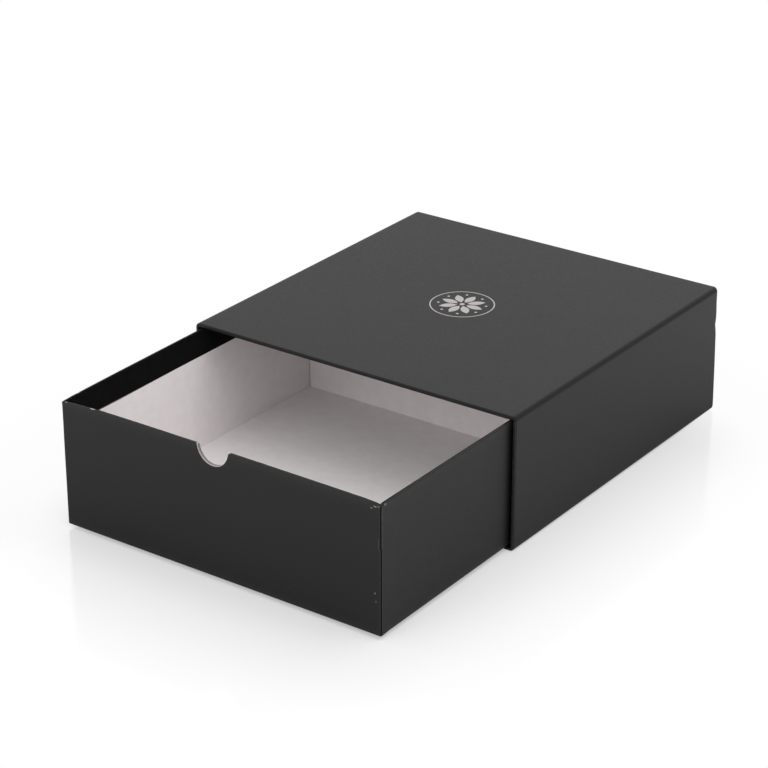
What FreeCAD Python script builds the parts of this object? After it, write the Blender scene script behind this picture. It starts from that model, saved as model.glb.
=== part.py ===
import FreeCAD, Part
import math
import os

# Sliding drawer gift box: a rigid paperboard sleeve, closed at the back, and a
# drawer with a thumb notch. Millimetres, +Z up, the mouth faces -Y, +X is to the
# right as seen from the mouth. The origin is the centre of the sleeve's underside.

# ---- sheet stock ----
board = 2.0  # greyboard panels
paper = 0.15  # wrapping and lining paper with its glue
tape = 0.08  # stay tape, rolled flush into the boards

# ---- drawer, outside ----
drawer_width = 230.0
drawer_depth = 238.6
drawer_height = 81.7
pull_out = 128.0  # how far the front stands out of the mouth at rest

# ---- running clearances between drawer and sleeve ----
side_clearance = 1.4  # each side
head_clearance = 0.9  # above the rim
floor_clearance = 0.1  # under the drawer
back_clearance = 0.3  # behind the drawer when it is shut flush

# ---- softened edges, outside radius ----
sleeve_edge_radius = 3.0  # four long edges and the four edges of the back
mouth_radius = 1.6  # round the outside of the mouth
drawer_edge_radius = 1.0  # upright corners and bottom edges
rim_radius = 0.6  # both sides of the drawer's rim

# ---- paper work ----
rim_turn_in = 17.0  # wrap folded down inside the drawer's walls
mouth_turn_in = 15.0  # wrap folded into the sleeve's mouth
base_flap = 15.0  # wrap folded under the sleeve's base
back_flap = 15.0  # wrap folded over the sleeve's back
cover_margin = 3.0  # back paper's edge to the sleeve's edge
cover_lap = 0.3  # how far the back paper's step overlaps itself
sheet_gap = 0.1  # between papers that meet edge to edge
lining_corner_gap = 0.4  # between the drawer's wall linings at each corner

# ---- stay tape ----
tape_leg = 12.0  # width of the tape on each side of its edge
tape_inset = 3.0  # tape's end to the end of its edge

# ---- thumb notch in the drawer's front ----
notch_radius = 11.2
notch_depth = 9.9
notch_offset = -1.3  # the notch's middle from the front's middle
shoulder_radius = 1.0  # where the notch meets the rim
notch_clearance_above = 5.0  # how far the cutter stands above the rim

# ---- silver foil rosette on the sleeve's top ----
foil = 0.04  # foil and its adhesive
petal_count = 8
petal_inner_radius = 3.2
petal_outer_radius = 15.0
petal_bulge = 2.7  # half of a petal's width
eye_radius = 1.7
bead_circle_radius = 15.4
bead_radius = 0.9
ring_radius = 20.0
ring_width = 0.8

# ---- worked out from the sizes above ----
wall = paper + board + paper
sleeve_width = drawer_width + 2 * (side_clearance + wall)
sleeve_height = drawer_height + floor_clearance + head_clearance + 2 * wall
sleeve_depth = drawer_depth + back_clearance + wall
mouth_y = -sleeve_depth / 2
drawer_front_y = mouth_y - pull_out
drawer_bottom_z = wall + floor_clearance
rim_z = drawer_bottom_z + drawer_height
up = FreeCAD.Vector(0, 0, 1)
same = 1e-4  # two heights or depths closer than this are one


def block(low, high):
    """A box from its lowest to its highest corner."""
    size = [b - a for a, b in zip(low, high)]
    return Part.makeBox(*size, FreeCAD.Vector(*low))


def shrink(bounds, amount):
    """Bounds moved inwards by the same amount on all six sides."""
    low, high = bounds
    return [v + amount for v in low], [v - amount for v in high]


def round_edges(shape, radius, wanted):
    """Fillet the edges for which wanted(bounding box) is true."""
    edges = [edge for edge in shape.Edges if wanted(edge.BoundBox)]
    return shape.makeFillet(radius, edges)


def save(name, shape):
    """Write one sub-part, with its size on the console."""
    clean = shape.removeSplitter()
    clean.exportStep(f"parts/{name}.step")
    box = clean.optimalBoundingBox(False)
    size = f"{box.XLength:8.2f} x {box.YLength:8.2f} x {box.ZLength:8.2f}"
    print(f"{name:26s} {size}  solids {len(clean.Solids)}  valid {clean.isValid()}")


# ---- sleeve ----
sleeve_bounds = (
    [-sleeve_width / 2, mouth_y, 0],
    [sleeve_width / 2, mouth_y + sleeve_depth, sleeve_height],
)


def sleeve_body(inset):
    """The sleeve as a full block, inset by a number of sheets, with softened edges."""
    low, high = shrink(sleeve_bounds, inset)

    def long_or_back(box):
        along = box.YLength > (high[1] - low[1]) / 2
        at_back = box.YMin > high[1] - same
        return along or at_back

    def at_mouth(box):
        return box.YMax < low[1] + same

    body = round_edges(block(low, high), sleeve_edge_radius - inset, long_or_back)
    return round_edges(body, mouth_radius - inset, at_mouth)


def sleeve_bay(outset):
    """The space inside the sleeve, widened by a number of sheets and open at the mouth."""
    low, high = shrink(sleeve_bounds, wall - outset)
    low[1] = mouth_y - wall
    return block(low, high)


def long_edge_zone(side, level):
    """The strip along one long edge that its stay tape covers."""
    low, high = shrink(sleeve_bounds, 0)
    if side > 0:
        low[0] = high[0] - tape_leg
    else:
        high[0] = low[0] + tape_leg
    if level > 0:
        low[2] = high[2] - tape_leg
    else:
        high[2] = low[2] + tape_leg
    low[1] += tape_inset
    high[1] -= sleeve_edge_radius + tape_inset
    return block(low, high)


def sleeve_tapes():
    """Four stay tapes, one over each long edge."""
    skin = sleeve_body(paper).cut(sleeve_body(paper + tape))
    tapes = {}
    for level_name, level in (("top", 1), ("bottom", -1)):
        for side_name, side in (("left", -1), ("right", 1)):
            zone = long_edge_zone(side, level)
            tapes[f"sleeve_{level_name}_{side_name}_tape"] = skin.common(zone)
    return tapes


def sleeve_boards(tapes):
    """Five butted greyboards, with the tapes pressed flush into them."""
    shell = sleeve_body(paper).cut(sleeve_bay(paper))
    for strip in tapes.values():
        shell = shell.cut(strip)
    low, high = shrink(sleeve_bounds, paper + board)
    (x0, y0, z0), (x1, y1, z1) = sleeve_bounds
    return {
        "sleeve_bottom_board": shell.common(block([x0, y0, z0], [x1, y1, low[2]])),
        "sleeve_top_board": shell.common(block([x0, y0, high[2]], [x1, y1, z1])),
        "sleeve_left_board": shell.common(block([x0, y0, low[2]], [low[0], y1, high[2]])),
        "sleeve_right_board": shell.common(block([high[0], y0, low[2]], [x1, y1, high[2]])),
        "sleeve_back_board": shell.common(
            block([low[0], high[1], low[2]], [high[0], y1, high[2]])
        ),
    }


def base_window(gap):
    """The part of the base that the wrap's flaps leave open, less a gap all round."""
    (x0, y0, z0), (x1, y1, _) = sleeve_bounds
    edge = base_flap + gap
    return block([x0 + edge, y0 + edge, z0], [x1 - edge, y1 - edge, z0 + paper])


def back_window(gap, y_low, y_high):
    """A slab across the opening that the wrap's flaps leave on the back."""
    (x0, _, z0), (x1, _, z1) = sleeve_bounds
    edge = back_flap + gap
    return block([x0 + edge, y_low, z0 + edge], [x1 - edge, y_high, z1 - edge])


def sleeve_wrap():
    """Outside paper, turned in at the mouth, under the base and over the back."""
    back_y = sleeve_bounds[1][1]
    skin = sleeve_body(0).cut(sleeve_body(paper)).cut(sleeve_bay(0))
    turned = sleeve_bay(paper).cut(sleeve_bay(0))
    low, high = shrink(sleeve_bounds, 0)
    high[1] = mouth_y + mouth_turn_in
    turned = turned.common(block(low, high))
    wrap = skin.fuse(turned)
    wrap = wrap.cut(base_window(0))
    return wrap.cut(back_window(0, back_y - paper, back_y))


def sleeve_back_paper():
    """Cover sheet on the back: flat on the board, stepping up over the wrap's flaps."""
    (x0, _, z0), (x1, back_y, z1) = sleeve_bounds
    inner = back_window(sheet_gap, back_y - paper, back_y)
    outer = block(
        [x0 + cover_margin, back_y, z0 + cover_margin],
        [x1 - cover_margin, back_y + paper, z1 - cover_margin],
    )
    dip = back_window(sheet_gap + cover_lap, back_y, back_y + paper)
    return inner.fuse(outer.cut(dip))


def sleeve_linings():
    """Black lining: a tube behind the turned-in wrap and a panel on the back."""
    back_y = sleeve_bounds[1][1] - wall
    low, high = shrink(sleeve_bounds, paper + board)
    low[1] = mouth_y + mouth_turn_in + sheet_gap
    high[1] = back_y
    tube = block(low, high).cut(sleeve_bay(0))
    low[1] = back_y
    high[1] = back_y + paper
    return {"sleeve_lining": tube, "sleeve_back_lining": block(low, high)}


def petal(turn):
    """One pointed petal made of two arcs, turned about the rosette's centre."""
    middle = (petal_inner_radius + petal_outer_radius) / 2
    inner = FreeCAD.Vector(petal_inner_radius, 0, 0)
    outer = FreeCAD.Vector(petal_outer_radius, 0, 0)
    left = Part.Arc(inner, FreeCAD.Vector(middle, petal_bulge, 0), outer).toShape()
    right = Part.Arc(outer, FreeCAD.Vector(middle, -petal_bulge, 0), inner).toShape()
    shape = Part.Face(Part.Wire([left, right])).extrude(up * foil)
    shape.rotate(FreeCAD.Vector(), up, turn)
    return shape


def foil_rosette():
    """Hot-foil ornament: petals round an eye, a bead between each two, and a ring."""
    step = 360 / petal_count
    pieces = [petal(step * n) for n in range(petal_count)]
    for n in range(petal_count):
        angle = math.radians(step * (n + 0.5))
        place = FreeCAD.Vector(math.cos(angle), math.sin(angle), 0) * bead_circle_radius
        pieces.append(Part.makeCylinder(bead_radius, foil, place))
    pieces.append(Part.makeCylinder(eye_radius, foil))
    ring = Part.makeCylinder(ring_radius + ring_width, foil)
    pieces.append(ring.cut(Part.makeCylinder(ring_radius, foil)))
    rosette = Part.makeCompound(pieces)
    rosette.translate(up * sleeve_height)
    return rosette


# ---- drawer ----
drawer_bounds = (
    [-drawer_width / 2, drawer_front_y, drawer_bottom_z],
    [drawer_width / 2, drawer_front_y + drawer_depth, rim_z],
)


def drawer_body(inset):
    """The drawer as a full block, inset by a number of sheets, with softened edges."""
    low, high = shrink(drawer_bounds, inset)

    def upright_or_low(box):
        upright = box.ZLength > (high[2] - low[2]) / 2
        return upright or box.ZMax < low[2] + same

    return round_edges(block(low, high), drawer_edge_radius - inset, upright_or_low)


def drawer_hollow(outset):
    """The space inside the drawer, widened by a number of sheets and open above."""
    low, high = shrink(drawer_bounds, wall - outset)
    high[2] = rim_z + wall
    return block(low, high)


def drawer_tray(inset):
    """Drawer walls and bottom less a number of sheets on every side, rim rounded."""
    tray = drawer_body(inset).cut(drawer_hollow(inset))
    top = rim_z - inset
    return round_edges(tray, rim_radius - inset, lambda box: box.ZMin > top - same)


def notch_cutter():
    """A half-round cutter through the front wall, flared where it meets the rim."""
    start_y = drawer_front_y - wall
    cutter_length = wall + 2 * wall
    centre_z = rim_z - notch_depth + notch_radius
    small_z = rim_z - shoulder_radius
    reach = notch_radius + shoulder_radius
    rise = centre_z - small_z
    small_x = math.sqrt(reach**2 - rise**2)
    lean = math.atan2(rise, small_x)

    def point(x, z):
        return FreeCAD.Vector(notch_offset + x, start_y, z)

    def shoulder(side):
        """Start, middle and end of the small arc, from the rim to the notch."""
        turns = (math.pi / 2, (math.pi / 2 + lean) / 2, lean)
        return [
            point(
                side * (small_x - shoulder_radius * math.cos(turn)),
                small_z + shoulder_radius * math.sin(turn),
            )
            for turn in turns
        ]

    left = shoulder(-1)
    right = shoulder(1)
    above = rim_z + notch_clearance_above
    left_top = point(-small_x, above)
    right_top = point(small_x, above)
    outline = Part.Wire(
        [
            Part.Arc(*left).toShape(),
            Part.Arc(left[-1], point(0, centre_z - notch_radius), right[-1]).toShape(),
            Part.Arc(*reversed(right)).toShape(),
            Part.makeLine(right[0], right_top),
            Part.makeLine(right_top, left_top),
            Part.makeLine(left_top, left[0]),
        ]
    )
    return Part.Face(outline).extrude(FreeCAD.Vector(0, cutter_length, 0))


def upright_zone(side, end):
    """The strip round one upright corner that its stay tape covers."""
    low, high = shrink(drawer_bounds, 0)
    if side > 0:
        low[0] = high[0] - tape_leg
    else:
        high[0] = low[0] + tape_leg
    if end > 0:
        low[1] = high[1] - tape_leg
    else:
        high[1] = low[1] + tape_leg
    low[2] += tape_inset
    high[2] -= tape_inset
    return block(low, high)


def drawer_tapes():
    """Four stay tapes, one round each upright corner."""
    skin = drawer_body(paper).cut(drawer_body(paper + tape))
    tapes = {}
    for end_name, end in (("front", -1), ("back", 1)):
        for side_name, side in (("left", -1), ("right", 1)):
            zone = upright_zone(side, end)
            tapes[f"drawer_{end_name}_{side_name}_tape"] = skin.common(zone)
    return tapes


def drawer_boards(tapes):
    """Five butted greyboards; the front and back run the full width."""
    shell = drawer_tray(paper)
    for strip in tapes.values():
        shell = shell.cut(strip)
    low, high = shrink(drawer_bounds, paper + board)
    (x0, y0, z0), (x1, y1, z1) = drawer_bounds
    front = shell.common(block([x0, y0, z0], [x1, low[1], z1]))
    floor_z = low[2]
    return {
        "drawer_front_board": front.cut(notch_cutter()),
        "drawer_back_board": shell.common(block([x0, high[1], z0], [x1, y1, z1])),
        "drawer_left_board": shell.common(block([x0, low[1], z0], [low[0], high[1], z1])),
        "drawer_right_board": shell.common(block([high[0], low[1], z0], [x1, high[1], z1])),
        "drawer_bottom_board": shell.common(
            block([low[0], low[1], z0], [high[0], high[1], floor_z])
        ),
    }


def lining_zone(gap):
    """The inside of the drawer's boards, below the turned-in wrap."""
    low, high = shrink(drawer_bounds, paper + board)
    high[2] = rim_z - rim_turn_in - gap
    return block(low, high)


def drawer_wrap():
    """One black sheet round the walls and bottom, folded down inside the rim."""
    skin = drawer_tray(0).cut(drawer_tray(paper))
    return skin.cut(lining_zone(0)).cut(notch_cutter())


def drawer_linings():
    """White paper: a floor sheet and four wall sheets that stop short of the corners."""
    (x0, y0, z0), (x1, y1, _) = shrink(drawer_bounds, paper + board)
    floor_top = z0 + paper
    top = rim_z - rim_turn_in - sheet_gap
    left = x0 + paper
    right = x1 - paper
    short_left = left + lining_corner_gap
    short_right = right - lining_corner_gap
    return {
        "drawer_floor_lining": block([x0, y0, z0], [x1, y1, floor_top]),
        "drawer_left_lining": block([x0, y0, floor_top], [left, y1, top]),
        "drawer_right_lining": block([right, y0, floor_top], [x1, y1, top]),
        "drawer_front_lining": block(
            [short_left, y0, floor_top], [short_right, y0 + paper, top]
        ),
        "drawer_back_lining": block(
            [short_left, y1 - paper, floor_top], [short_right, y1, top]
        ),
    }


def main():
    os.makedirs("parts", exist_ok=True)
    sleeve_strips = sleeve_tapes()
    drawer_strips = drawer_tapes()
    pieces = {
        **sleeve_boards(sleeve_strips),
        **sleeve_strips,
        "sleeve_wrap": sleeve_wrap(),
        "sleeve_base_paper": base_window(sheet_gap),
        "sleeve_back_paper": sleeve_back_paper(),
        **sleeve_linings(),
        "sleeve_foil_ornament": foil_rosette(),
        **drawer_boards(drawer_strips),
        **drawer_strips,
        "drawer_wrap": drawer_wrap(),
        **drawer_linings(),
    }
    for name, shape in pieces.items():
        save(name, shape)
    print("sleeve", round(sleeve_width, 3), round(sleeve_depth, 3), round(sleeve_height, 3))


main()
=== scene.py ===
"""Sliding drawer gift box: a rigid paperboard sleeve, its drawer and the papers on them.

Lengths are millimetres until a mesh is written. The CAD frame says where each piece goes.
"""

from __future__ import annotations

import logging
import math
from collections.abc import Callable, Iterable, Sequence
from dataclasses import dataclass, field, fields
from enum import Enum
from functools import partial

import bmesh
import bpy
from bpy.types import Material, Mesh, Node, NodeOutputs, NodeSocket, NodeTree, Object
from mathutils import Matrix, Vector


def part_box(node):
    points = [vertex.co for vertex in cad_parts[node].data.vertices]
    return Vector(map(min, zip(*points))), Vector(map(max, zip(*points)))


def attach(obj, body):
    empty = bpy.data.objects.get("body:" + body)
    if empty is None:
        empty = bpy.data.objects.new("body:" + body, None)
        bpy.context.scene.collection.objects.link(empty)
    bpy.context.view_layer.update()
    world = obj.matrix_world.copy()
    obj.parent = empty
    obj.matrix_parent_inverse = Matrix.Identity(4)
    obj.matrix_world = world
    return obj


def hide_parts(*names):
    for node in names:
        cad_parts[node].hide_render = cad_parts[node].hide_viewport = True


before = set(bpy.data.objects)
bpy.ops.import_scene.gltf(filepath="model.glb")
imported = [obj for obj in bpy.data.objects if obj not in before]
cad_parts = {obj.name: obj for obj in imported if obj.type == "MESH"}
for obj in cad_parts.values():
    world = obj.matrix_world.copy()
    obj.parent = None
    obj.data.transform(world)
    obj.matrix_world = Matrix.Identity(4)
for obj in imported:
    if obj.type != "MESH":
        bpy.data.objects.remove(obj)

log = logging.getLogger("gift_box")
MM = 0.001
NEAR = 0.01  # lengths closer than this, in millimetres, are one
SAME = 0.001  # the same where wear or a joint begins
WELD = 0.002  # points closer than this are merged
FOIL_WELD = 0.1  # the same in the foil, as a part of its thickness
SHARP = math.radians(40)  # a crease turns more than this from face to face, a rounding less
PANEL_WEIGHT = 90  # past the neutral 50, large faces count for more in the shading
MOSTLY = {"From_Min": 0.3, "From_Max": 0.7}  # the values that a noise mostly takes
WHITE = (1.0, 1.0, 1.0, 1.0)

Add = Callable[..., Node]  # add_node for one tree
Place = tuple[float, float, float]


class Body(Enum):
    """The two bodies that slide on each other."""

    SLEEVE = "sleeve"
    DRAWER = "drawer"


class Slot(Enum):
    """The record's material slots."""

    BLACK_WRAP = "black_wrap_paper"
    WHITE_LINING = "white_lining_paper"
    GREYBOARD = "greyboard"
    SILVER_FOIL = "silver_foil"


class Layer(Enum):
    """Which side of the wrapping paper a face shows, as its place in the skin's materials."""

    FILM = 0
    BARE = 1
    CORE = 2


# ---- shared helpers ----


def linear(hex_colour: str) -> tuple[float, float, float, float]:
    """Turn an sRGB hex colour into linear light.

    Args:
        hex_colour: A colour such as "#8E867E".

    Returns:
        Linear red, green and blue, with an alpha of one.
    """
    values = [int(hex_colour[n : n + 2], 16) / 255 for n in (1, 3, 5)]
    red, green, blue = [v / 12.92 if v <= 0.04045 else ((v + 0.055) / 1.055) ** 2.4 for v in values]
    return (red, green, blue, 1.0)


def grain(size: float) -> float:
    """The texture scale at which a feature is this many millimetres across."""
    return 1 / (size * MM)


def add_node(tree: NodeTree, kind: str, *first: object, **named: object) -> Node:
    """Add one node with its settings and links.

    Args:
        tree: The material's, world's or geometry tree.
        kind: Blender's name of the node type, with or without a leading "ShaderNode".
        first: Values for the first sockets, in order.
        named: Values for the node's own properties (lower case) and its sockets in use, with
            an underscore for a space. A socket whose value is an output, or a node for its
            first output in use, is linked to it.

    Returns:
        The new node.
    """
    node = tree.nodes.new(kind if "Node" in kind else f"ShaderNode{kind}")
    for key in [key for key in named if key[0].islower()]:
        setattr(node, key, named.pop(key))
    in_use = {socket.name.replace(" ", "_"): socket for socket in node.inputs if socket.enabled}
    given = [*zip(node.inputs, first), *((in_use[key], value) for key, value in named.items())]
    for socket, value in given:
        if isinstance(value, Node):
            value = next(output for output in value.outputs if output.enabled)
        if isinstance(value, NodeSocket):
            tree.links.new(value, socket)
        else:
            socket.default_value = value
    return node


def bake(piece: Object) -> Object:
    """Turn what a piece's modifiers make into its own plain mesh.

    Args:
        piece: The object with its modifiers.

    Returns:
        The same object, with a plain mesh and no modifiers.
    """
    graph = bpy.context.evaluated_depsgraph_get()
    live = piece.evaluated_get(graph)
    made = bpy.data.meshes.new_from_object(live, preserve_all_data_layers=True, depsgraph=graph)
    made.name = piece.name
    piece.modifiers.clear()
    piece.data = made
    return piece


def new_object(name: str, data: bpy.types.ID) -> Object:
    """Link a new object at the origin.

    Args:
        name: The object's name.
        data: Its mesh, lamp or camera.

    Returns:
        The object.
    """
    made = bpy.data.objects.new(name, data)
    bpy.context.scene.collection.objects.link(made)
    return made


def to_mesh(shape: bmesh.types.BMesh, name: str, *finishes: Finish) -> Mesh:
    """Write a worked shape out as a mesh with its finishes.

    Args:
        shape: The shape, which is freed.
        name: The mesh's name.
        finishes: The finishes of its material slots, in order.

    Returns:
        The mesh.
    """
    mesh = bpy.data.meshes.new(name)
    shape.to_mesh(mesh)
    shape.free()
    for finish in finishes:
        mesh.materials.append(finish.material())
    return mesh


def corners(node: str) -> tuple[Vector, Vector]:
    """Lowest and highest corner of a CAD node, in millimetres."""
    low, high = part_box(node)
    return low / MM, high / MM


@dataclass(frozen=True)
class Course:
    """A value that changes along an axis, straight between its marks."""

    marks: tuple[tuple[float, float], ...]

    def at(self, place: float) -> float:
        """Read the value at a place; beyond the marks the end values hold.

        Args:
            place: Where along the axis.

        Returns:
            The value there.
        """
        if place <= self.marks[0][0]:
            return self.marks[0][1]
        for (start, low), (end, high) in zip(self.marks, self.marks[1:]):
            if place <= end:
                return low + (high - low) * (place - start) / (end - start)
        return self.marks[-1][1]

    def places(self) -> list[float]:
        """Where the marks lie."""
        return [place for place, _ in self.marks]


# ---- finishes ----


@dataclass(frozen=True)
class Finish:
    """A real finish, and the material that shows it."""

    name: str

    def material(self) -> Material:
        """Find the finish's material, or make it on its first use.

        Returns:
            The material.
        """
        made = bpy.data.materials.get(self.name)
        if made is None:
            made = bpy.data.materials.new(self.name)
            made.use_nodes = True
            made.node_tree.nodes.clear()
            add = partial(add_node, made.node_tree)
            add("OutputMaterial", self.lay(add, add("TexCoord").outputs["Object"]))
        return made

    def lay(self, add: Add, place: NodeSocket) -> Node:
        """Lay the finish's nodes.

        Args:
            add: Adds a node to the material's tree.
            place: Object coordinates, in metres.

        Returns:
            The shader node.
        """
        raise NotImplementedError


@dataclass(frozen=True)
class Scuff:
    """A spot where the film is rubbed through, in millimetres in the row frame."""

    centre: Place
    reach: Place
    strength: float


@dataclass(frozen=True)
class LaminatedArtPaper(Finish):
    """Art paper printed black, laminated with matt film and rolled down on greyboard.

    The ink is nearly lightless, so the eye sees the film: a satin veil that grows towards
    grazing angles, a fine tooth, the board's slow waviness, dust, and folds rubbed paler,
    some of them also painted paler as painted highlight and painted light.
    """

    name: str = "matt_laminated_black_art_paper"
    ink: str = "#121112"
    thin_ink: str = "#171617"
    # the paler film of rubbed folds; also the colour of the painted highlights and painted light on the
    # drawer's rim and joints and on the sleeve's mouth end
    rubbed: str = "#4C4947"
    core: str = "#C9C2BC"
    dust: str = "#77726E"
    gloss_low: float = 0.38
    gloss_high: float = 0.47
    cloud: float = 55.0  # where the ink lies thinner
    tooth: float = 1.1  # real tooth is about 0.1 mm; coarser so that it shows
    waviness: float = 24.0
    rub_grain: float = 1.4
    rub: float = 0.03  # how far an unhandled fold is rubbed; where it is raised, also a painted highlight
    dust_spacing: float = 11.0
    dust_size: float = 0.35
    dust_fade: float = 1.6  # where a speck's soft rim ends, in its own sizes
    dust_strength: float = 0.7
    dustless: float = 0.6  # the share of places with no speck
    scuff_edge: tuple[float, float] = (1.1, 1.5)  # a scuff breaks up between these reaches
    scuffs: tuple[Scuff, ...] = ()

    def lay(self, add: Add, place: NodeSocket) -> Node:
        """Lay ink, rubbed folds, dust and scuffs under the film's tooth.

        Args:
            add: Adds a node to the material's tree.
            place: Object coordinates, in metres.

        Returns:
            The shader node.
        """
        cloud = add("TexNoise", place, Scale=grain(self.cloud), Detail=3.0)
        ink = add("Mix", cloud, data_type="RGBA", A=linear(self.ink), B=linear(self.thin_ink))
        tooth = add("TexNoise", place, Scale=grain(self.tooth), Detail=2.0, Roughness=0.6)
        wave = add("TexNoise", place, Scale=grain(self.waviness), Detail=1.0)
        slow = add("Bump", Strength=0.6, Distance=0.12 * MM, Height=wave)
        return add(
            "BsdfPrincipled",
            IOR=1.5,
            Specular_IOR_Level=0.28,
            Base_Color=self.wear(add, place, ink),
            Roughness=add("MapRange", tooth, To_Min=self.gloss_low, To_Max=self.gloss_high, **MOSTLY),
            Normal=add("Bump", Strength=0.35, Distance=0.035 * MM, Height=tooth, Normal=slow),
        )

    def wear(self, add: Add, place: NodeSocket, ink: Node) -> Node:
        """Pale the folds, by rubbing and by painted highlights, scatter dust and break the film at the
        scuffs.

        Args:
            add: Adds a node to the material's tree.
            place: Object coordinates, in metres.
            ink: The clean ink's colour.

        Returns:
            The worn colour.
        """
        # on the drawer's rim, at its joints and on the sleeve's mouth end, the fold values also paint
        # highlights and light into this colour, besides the real rubbing
        fold = add("Attribute", attribute_name="fold").outputs["Fac"]
        rub = add("TexNoise", place, Scale=grain(self.rub_grain), Detail=4.0, Roughness=0.7)
        patchy = add("MapRange", rub, From_Min=0.4, From_Max=0.7, To_Min=self.rub / 4, To_Max=self.rub)
        amount = add("Math", fold, patchy, operation="MULTIPLY")
        colour = add("Mix", amount, data_type="RGBA", A=ink, B=linear(self.rubbed))
        cell = add("TexVoronoi", place, Scale=grain(self.dust_spacing))
        half = self.dust_size / self.dust_spacing / 2
        rim = {"From_Min": half, "From_Max": half * self.dust_fade}
        speck = add("MapRange", cell, To_Min=self.dust_strength, To_Max=0.0, **rim)
        lot = add("SeparateColor", cell.outputs["Color"])
        chosen = add("Math", lot, self.dustless, operation="GREATER_THAN")
        dusty = add("Math", speck, chosen, operation="MULTIPLY")
        colour = add("Mix", dusty, data_type="RGBA", A=colour, B=linear(self.dust))
        for scuff in self.scuffs:
            centre, reach = [[v * MM for v in size] for size in (scuff.centre, scuff.reach)]
            near = add("Mapping", place, vector_type="TEXTURE", Location=centre, Scale=reach)
            away = add("VectorMath", near, operation="LENGTH")
            ragged = add("Math", away, rub, operation="ADD")
            bare = add("MapRange", ragged, *self.scuff_edge, To_Min=scuff.strength, To_Max=0.0)
            colour = add("Mix", bare, data_type="RGBA", A=colour, B=linear(self.core))
        return colour


@dataclass(frozen=True)
class UncoatedPaper(Finish):
    """Uncoated paper, calendered but not filmed.

    It scatters nearly all the light it returns, so the eye gets a soft even tone with the
    cloudy formation of its fibres and no gloss.
    """

    name: str
    tone: str
    shade: str
    sheen: float = 0.3
    fibre: float = 0.7  # fibres are about 0.03 mm across; coarser so that they show
    formation: float = 7.0
    relief: float = 0.02

    def lay(self, add: Add, place: NodeSocket) -> Node:
        """Lay the paper's formation and fibres.

        Args:
            add: Adds a node to the material's tree.
            place: Object coordinates, in metres.

        Returns:
            The shader node.
        """
        cloudy = add("TexNoise", place, Scale=grain(self.formation), Detail=3.0)
        fibre = add("TexNoise", place, Scale=grain(self.fibre), Detail=3.0, Roughness=0.7)
        both = add("Math", cloudy, fibre, operation="MULTIPLY")
        amount = add("MapRange", both, From_Min=0.12, From_Max=0.42)
        return add(
            "BsdfPrincipled",
            IOR=1.5,
            Specular_IOR_Level=self.sheen,
            Base_Color=add("Mix", amount, data_type="RGBA", A=linear(self.shade), B=linear(self.tone)),
            Roughness=add("MapRange", fibre, To_Min=0.82, To_Max=0.95, **MOSTLY),
            Normal=add("Bump", Strength=0.5, Distance=self.relief * MM, Height=fibre),
        )


@dataclass(frozen=True)
class RecycledGreyboard(Finish):
    """Greyboard pressed from plies of recycled pulp, with a die-cut edge.

    The cut shows the plies as grey-brown streaks along the edge, flecked with darker and
    paler scraps of the old paper.
    """

    name: str = "recycled_greyboard"
    pulp: str = "#8A8384"
    ply: str = "#6B6567"
    fleck: str = "#B2ACAC"
    ply_height: float = 0.45
    ply_length: float = 6.0
    fleck_size: float = 0.5

    def lay(self, add: Add, place: NodeSocket) -> Node:
        """Lay the plies across Y, with flecks.

        Args:
            add: Adds a node to the material's tree.
            place: Object coordinates, in metres.

        Returns:
            The shader node.
        """
        along = grain(self.ply_length)
        stretched = add("Mapping", place, Scale=(along, grain(self.ply_height), along))
        plies = add("TexNoise", stretched, Scale=1.0, Detail=2.0)
        flecks = add("TexNoise", place, Scale=grain(self.fleck_size), Detail=3.0, Roughness=0.7)
        streaks = add("MapRange", plies, From_Min=0.35, From_Max=0.65)
        board = add("Mix", streaks, data_type="RGBA", A=linear(self.ply), B=linear(self.pulp))
        scraps = add("MapRange", flecks, From_Min=0.58, From_Max=0.72, To_Max=0.7)
        return add(
            "BsdfPrincipled",
            IOR=1.5,
            Specular_IOR_Level=0.2,
            Roughness=0.95,
            Base_Color=add("Mix", scraps, data_type="RGBA", A=board, B=linear(self.fleck)),
            Normal=add("Bump", Strength=0.8, Distance=0.08 * MM, Height=flecks),
        )


@dataclass(frozen=True)
class HotStampedFoil(Finish):
    """Aluminium hot-stamping foil, pressed through the film by a warm brass die.

    The thin metal takes the paper's tooth, so it gives a bright but blurred sheen, a little
    duller where the foil is thin.
    """

    name: str = "matt_silver_hot_foil"
    metal: str = "#D3CDCD"
    thin: str = "#B9B3B3"
    tooth: float = 0.9
    cloud: float = 6.0

    def lay(self, add: Add, place: NodeSocket) -> Node:
        """Lay the foil's cloud and tooth.

        Args:
            add: Adds a node to the material's tree.
            place: Object coordinates, in metres.

        Returns:
            The shader node.
        """
        cloud = add("TexNoise", place, Scale=grain(self.cloud), Detail=4.0)
        tooth = add("TexNoise", place, Scale=grain(self.tooth), Detail=2.0)
        return add(
            "BsdfPrincipled",
            Metallic=1.0,
            Base_Color=add("Mix", cloud, data_type="RGBA", A=linear(self.thin), B=linear(self.metal)),
            Roughness=add("MapRange", cloud, To_Min=0.26, To_Max=0.38, **MOSTLY),
            Normal=add("Bump", Strength=0.3, Distance=0.03 * MM, Height=tooth),
        )


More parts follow.
